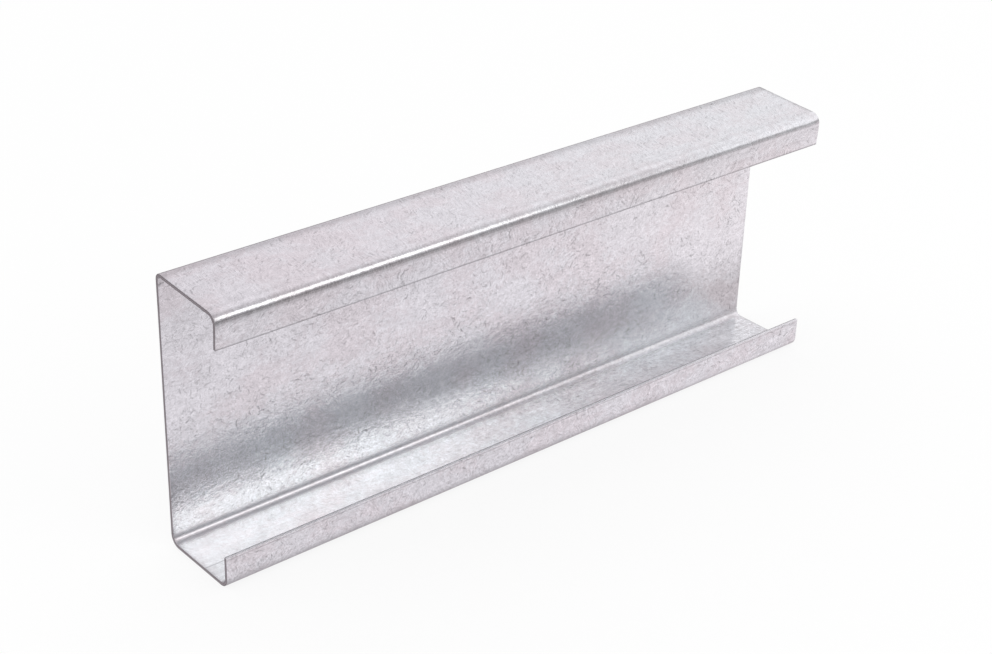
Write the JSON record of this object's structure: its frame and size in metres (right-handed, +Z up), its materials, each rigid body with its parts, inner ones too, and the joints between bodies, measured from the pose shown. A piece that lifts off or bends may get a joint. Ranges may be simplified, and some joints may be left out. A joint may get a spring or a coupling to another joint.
{
  "type": "c purlin",
  "caption": "Cold-formed galvanised steel C purlin with lipped flanges, cut to a short length, that carries roof or wall cladding between frames.",
  "frame": {"origin": "on the floor, under the middle of the purlin's bounding box, halfway along its length and halfway across its flanges", "axes": "+X along the purlin, +Y out of the web's flat back and away from the open side, +Z up, from the bottom flange to the top flange"},
  "size_m": [0.4, 0.05, 0.15],
  "materials": {
    "galvanised_steel": "smooth hot-dip zinc coating, satin, with fine handling scratches and faint roll-forming lines"
  },
  "bodies": {
    "root": {"c_purlin": "galvanised_steel"}
  },
  "joints": []
}
